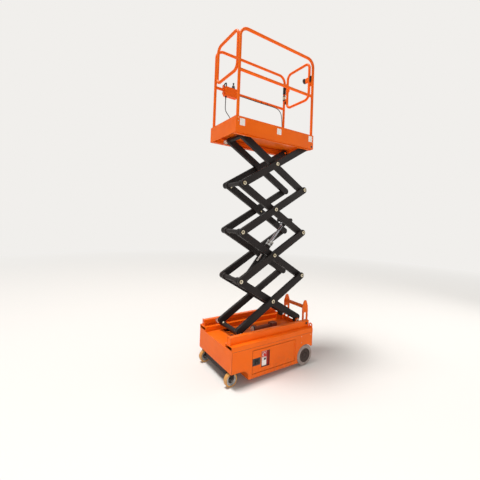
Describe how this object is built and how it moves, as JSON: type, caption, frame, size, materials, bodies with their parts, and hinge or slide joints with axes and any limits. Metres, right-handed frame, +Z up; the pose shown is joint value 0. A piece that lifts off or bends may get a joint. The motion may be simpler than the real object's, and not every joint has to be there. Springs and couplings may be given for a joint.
{
  "type": "scissor lift",
  "caption": "Small self-propelled electric scissor lift with a railed platform raised on crossed arms, steered front casters and rear drive wheels.",
  "frame": {"origin": "on the floor, under the middle of the machine's box, ladder and casters included", "axes": "+X forward to the steered casters, +Y left, +Z up"},
  "size_m": [1.331, 0.7682, 3.867],
  "materials": {
    "orange_paint": "semi-gloss",
    "black_paint": "semi-gloss",
    "zinc": "satin",
    "chrome_rod": "polished",
    "grey_tyre": "matt",
    "dark_hub": "satin",
    "amber_tread": "satin",
    "silver_hub": "satin",
    "black_plastic": "matt",
    "battery_case": "matt",
    "grey_metal": "satin",
    "cable_black": "matt"
  },
  "bodies": {
    "chassis": {"front_plate": "orange_paint", "rear_plate": "orange_paint", "side_panels": "orange_paint", "side_lids": "orange_paint", "floor_deck": "orange_paint", "belly_tray": "orange_paint", "roller_rails": "orange_paint", "entry_ladder": "orange_paint", "battery_block": "battery_case", "hydraulic_pump": "grey_metal", "drive_motors": "grey_metal", "front_axle_frame": "black_paint"},
    "door_left": {"door_left": "orange_paint", "door_fittings_left": "black_plastic"},
    "door_right": {"door_right": "orange_paint", "door_fittings_right": "black_plastic"},
    "drive_wheel_left": {"drive_tyre_left": "grey_tyre", "drive_hub_left": "dark_hub"},
    "drive_wheel_right": {"drive_tyre_right": "grey_tyre", "drive_hub_right": "dark_hub"},
    "fork_left": {"steering_fork_left": "black_paint"},
    "fork_right": {"steering_fork_right": "black_paint"},
    "tie_bar": {"tie_bar": "black_paint"},
    "front_wheel_left": {"front_tread_left": "amber_tread", "front_hub_left": "silver_hub"},
    "front_wheel_right": {"front_tread_right": "amber_tread", "front_hub_right": "silver_hub"},
    "barrel": {"cylinder_barrel": "black_paint"},
    "rod": {"cylinder_rod": "chrome_rod"},
    "platform": {"platform_deck": "orange_paint", "toe_board": "orange_paint", "platform_rails": "orange_paint", "guardrail_sides": "orange_paint", "guardrail_front": "orange_paint", "gate_fittings": "black_paint", "control_box": "orange_paint", "joystick": "black_plastic", "control_fittings": "black_plastic", "drop_cable": "cable_black", "rail_cable": "cable_black"},
    "gate": {"rear_gate": "orange_paint"},
    "inner_1": {"inner_arm_1": "black_paint", "cross_tubes_1": "black_paint", "arm_pins_1": "zinc"},
    "outer_1": {"outer_arm_1": "black_paint", "base_rollers": "grey_metal"},
    "inner_2": {"inner_arm_2": "black_paint", "cross_tubes_2": "black_paint", "arm_pins_2": "zinc"},
    "outer_2": {"outer_arm_2": "black_paint"},
    "inner_3": {"inner_arm_3": "black_paint", "cross_tubes_3": "black_paint", "arm_pins_3": "zinc"},
    "outer_3": {"outer_arm_3": "black_paint"},
    "inner_4": {"inner_arm_4": "black_paint", "cross_tubes_4": "black_paint", "arm_pins_4": "zinc", "top_rollers": "grey_metal"},
    "outer_4": {"outer_arm_4": "black_paint"}
  },
  "joints": [
    {"name": "scissor_lift", "type": "hinge", "parent": "chassis", "child": "inner_1", "pos_m": [-0.4755, 0, 0.476], "axis": [0, -1, 0], "range_deg": [-25.91, 3.7]},
    {"name": "outer_1_pivot", "type": "hinge", "parent": "inner_1", "child": "outer_1", "pos_m": [-0.02482, 0, 0.7848], "axis": [0, -1, 0], "range_deg": [-7.41, 51.82]},
    {"name": "outer_2_pivot", "type": "hinge", "parent": "inner_1", "child": "outer_2", "pos_m": [0.4451, 0, 1.06083], "axis": [0, -1, 0], "range_deg": [-7.41, 51.82]},
    {"name": "inner_2_pivot", "type": "hinge", "parent": "outer_2", "child": "inner_2", "pos_m": [-0.02482, 0, 1.33687], "axis": [0, -1, 0], "range_deg": [-51.82, 7.41]},
    {"name": "inner_3_pivot", "type": "hinge", "parent": "outer_2", "child": "inner_3", "pos_m": [-0.49475, 0, 1.6129], "axis": [0, -1, 0], "range_deg": [-51.82, 7.41]},
    {"name": "outer_3_pivot", "type": "hinge", "parent": "inner_3", "child": "outer_3", "pos_m": [-0.02482, 0, 1.88894], "axis": [0, -1, 0], "range_deg": [-7.41, 51.82]},
    {"name": "outer_4_pivot", "type": "hinge", "parent": "inner_3", "child": "outer_4", "pos_m": [0.4451, 0, 2.16497], "axis": [0, -1, 0], "range_deg": [-7.41, 51.82]},
    {"name": "inner_4_pivot", "type": "hinge", "parent": "outer_4", "child": "inner_4", "pos_m": [-0.02482, 0, 2.44101], "axis": [0, -1, 0], "range_deg": [-51.82, 7.41]},
    {"name": "platform_pivot", "type": "hinge", "parent": "outer_4", "child": "platform", "pos_m": [-0.49475, 0, 2.71704], "axis": [0, -1, 0], "range_deg": [-25.91, 3.71]},
    {"name": "cylinder_pivot", "type": "hinge", "parent": "inner_1", "child": "barrel", "pos_m": [0.29335, 0, 0.97169], "axis": [0, -1, 0], "range_deg": [-9.54, 66.74]},
    {"name": "cylinder_stroke", "type": "slide", "parent": "barrel", "child": "rod", "axis": [-0.6438, 0, 0.7652], "range_m": [-0.2383, 0.0345]},
    {"name": "rear_gate_hinge", "type": "hinge", "parent": "platform", "child": "gate", "pos_m": [-0.52175, -0.236, 3.6], "axis": [0, 0, -1], "range_deg": [0, 80]},
    {"name": "door_left_hinge", "type": "hinge", "parent": "chassis", "child": "door_left", "pos_m": [-0.258, 0.38065, 0.2235], "axis": [0, 0, 1], "range_deg": [0, 100]},
    {"name": "door_right_hinge", "type": "hinge", "parent": "chassis", "child": "door_right", "pos_m": [-0.258, -0.38065, 0.2235], "axis": [0, 0, -1], "range_deg": [0, 100]},
    {"name": "steering_left", "type": "hinge", "parent": "chassis", "child": "fork_left", "pos_m": [0.5925, 0.3, 0.15], "axis": [0, 0, 1], "range_deg": [-35, 35]},
    {"name": "steering_right", "type": "hinge", "parent": "chassis", "child": "fork_right", "pos_m": [0.5925, -0.3, 0.15], "axis": [0, 0, 1], "range_deg": [-35, 35]},
    {"name": "tie_bar_pin", "type": "hinge", "parent": "fork_left", "child": "tie_bar", "pos_m": [0.5175, 0.3, 0.146], "axis": [0, 0, 1], "range_deg": [-35, 35]},
    {"name": "front_wheel_left_spin", "type": "hinge", "parent": "fork_left", "child": "front_wheel_left", "pos_m": [0.5925, 0.3, 0.073], "axis": [0, 1, 0], "continuous": true},
    {"name": "drive_wheel_left_spin", "type": "hinge", "parent": "chassis", "child": "drive_wheel_left", "pos_m": [-0.4255, 0.345, 0.122], "axis": [0, 1, 0], "continuous": true},
    {"name": "front_wheel_right_spin", "type": "hinge", "parent": "fork_right", "child": "front_wheel_right", "pos_m": [0.5925, -0.3, 0.073], "axis": [0, 1, 0], "continuous": true},
    {"name": "drive_wheel_right_spin", "type": "hinge", "parent": "chassis", "child": "drive_wheel_right", "pos_m": [-0.4255, -0.345, 0.122], "axis": [0, 1, 0], "continuous": true}
  ],
  "couplings": [
    {"joint": "outer_1_pivot", "follows": "scissor_lift", "ratio": -2},
    {"joint": "outer_2_pivot", "follows": "scissor_lift", "ratio": -2},
    {"joint": "inner_2_pivot", "follows": "scissor_lift", "ratio": 2},
    {"joint": "inner_3_pivot", "follows": "scissor_lift", "ratio": 2},
    {"joint": "outer_3_pivot", "follows": "scissor_lift", "ratio": -2},
    {"joint": "outer_4_pivot", "follows": "scissor_lift", "ratio": -2},
    {"joint": "inner_4_pivot", "follows": "scissor_lift", "ratio": 2},
    {"joint": "platform_pivot", "follows": "scissor_lift", "ratio": 1},
    {"joint": "cylinder_pivot", "follows": "scissor_lift", "ratio": -2.5761},
    {"joint": "cylinder_stroke", "follows": "scissor_lift", "m_per_rad": 0.5259},
    {"joint": "steering_right", "follows": "steering_left", "ratio": 1},
    {"joint": "tie_bar_pin", "follows": "steering_left", "ratio": -1}
  ]
}
